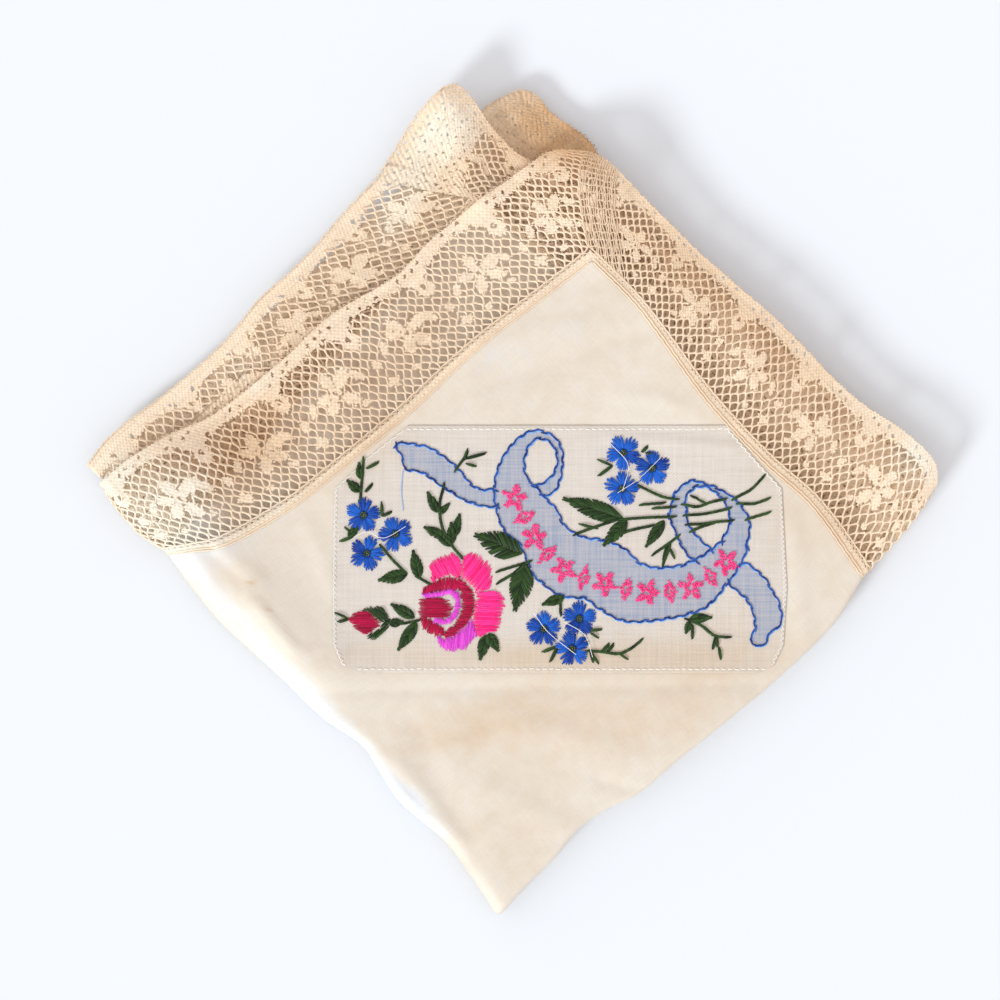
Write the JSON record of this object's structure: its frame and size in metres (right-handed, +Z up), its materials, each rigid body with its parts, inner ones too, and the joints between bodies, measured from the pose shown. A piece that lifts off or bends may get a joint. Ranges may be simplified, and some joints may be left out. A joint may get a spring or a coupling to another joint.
{
  "type": "lace-edged handkerchief, folded",
  "caption": "Folded silk handkerchief with a net lace edging and an embroidered corner panel, lying flat as a diamond.",
  "frame": {"origin": "middle of the folded footprint, on the surface that the cloth lies on", "axes": "+Z up from the surface, -Y towards the closed corner of the folds, +X to the right of the panel as it is read"},
  "size_m": [0.1939, 0.1883, 0.0103],
  "materials": {
    "silk": "thin ivory silk, faintly sheer, with old tan stains",
    "lace": "cream cotton machine lace, hexagonal net with dense motifs",
    "organdie": "off-white sheer plain weave, embroidered in coloured silks"
  },
  "bodies": {
    "root": {"silk_ground": "silk", "lace_edging": "lace", "embroidered_panel": "organdie"}
  },
  "joints": []
}
